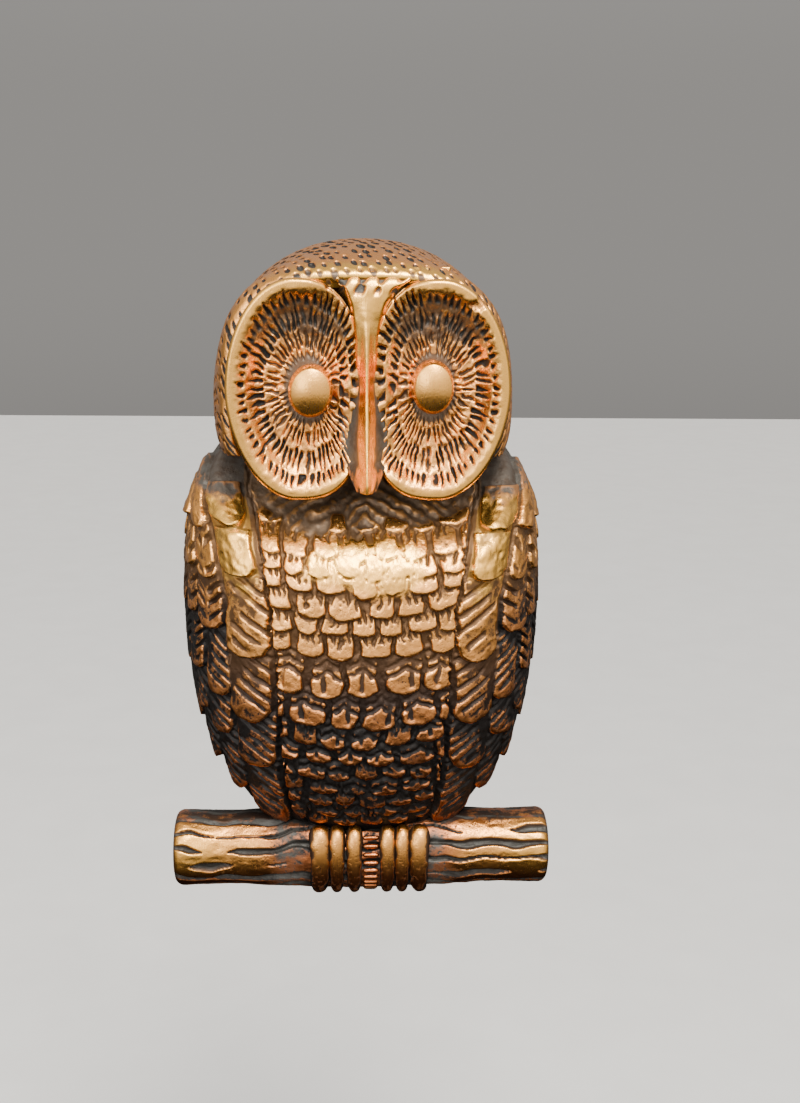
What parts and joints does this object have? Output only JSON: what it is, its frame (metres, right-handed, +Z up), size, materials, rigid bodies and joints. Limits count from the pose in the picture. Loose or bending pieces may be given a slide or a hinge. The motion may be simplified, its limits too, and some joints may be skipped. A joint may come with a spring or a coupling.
{
  "type": "owl door knocker",
  "caption": "Cast owl door knocker with a fixed head and a body that swings from a hidden hinge and strikes the door.",
  "frame": {"origin": "on the door's face, midway between the two fixing studs", "axes": "+Z up, +X to the viewer's right, +Y into the door (the owl faces -Y)"},
  "size_m": [0.101, 0.095, 0.1742],
  "materials": {
    "head_brass": "cast brass with a dark antique patina, polished high spots",
    "body_brass": "cast brass with a dark antique patina, polished high spots",
    "plate_brass": "rolled brass, brushed",
    "button_brass": "turned brass",
    "bush_bronze": "turned bronze",
    "pin_steel": "turned steel",
    "spring_steel": "blackened spring steel",
    "fixing_steel": "zinc plated steel"
  },
  "bodies": {
    "fixed_head": {"head_casting": "head_brass", "back_plate": "plate_brass", "hinge_pin": "pin_steel", "thrust_washers": "pin_steel", "pin_clip": "spring_steel", "head_screws": "fixing_steel", "strike_button": "button_brass", "upper_stud": "fixing_steel", "lower_stud": "fixing_steel"},
    "swinging_body": {"body_casting": "body_brass", "hinge_bushes": "bush_bronze"}
  },
  "joints": [
    {"name": "knocker_swing", "type": "hinge", "parent": "fixed_head", "child": "swinging_body", "pos_m": [0, -0.015, 0.0205], "axis": [-1, 0, 0], "range_deg": [0, 12]}
  ]
}
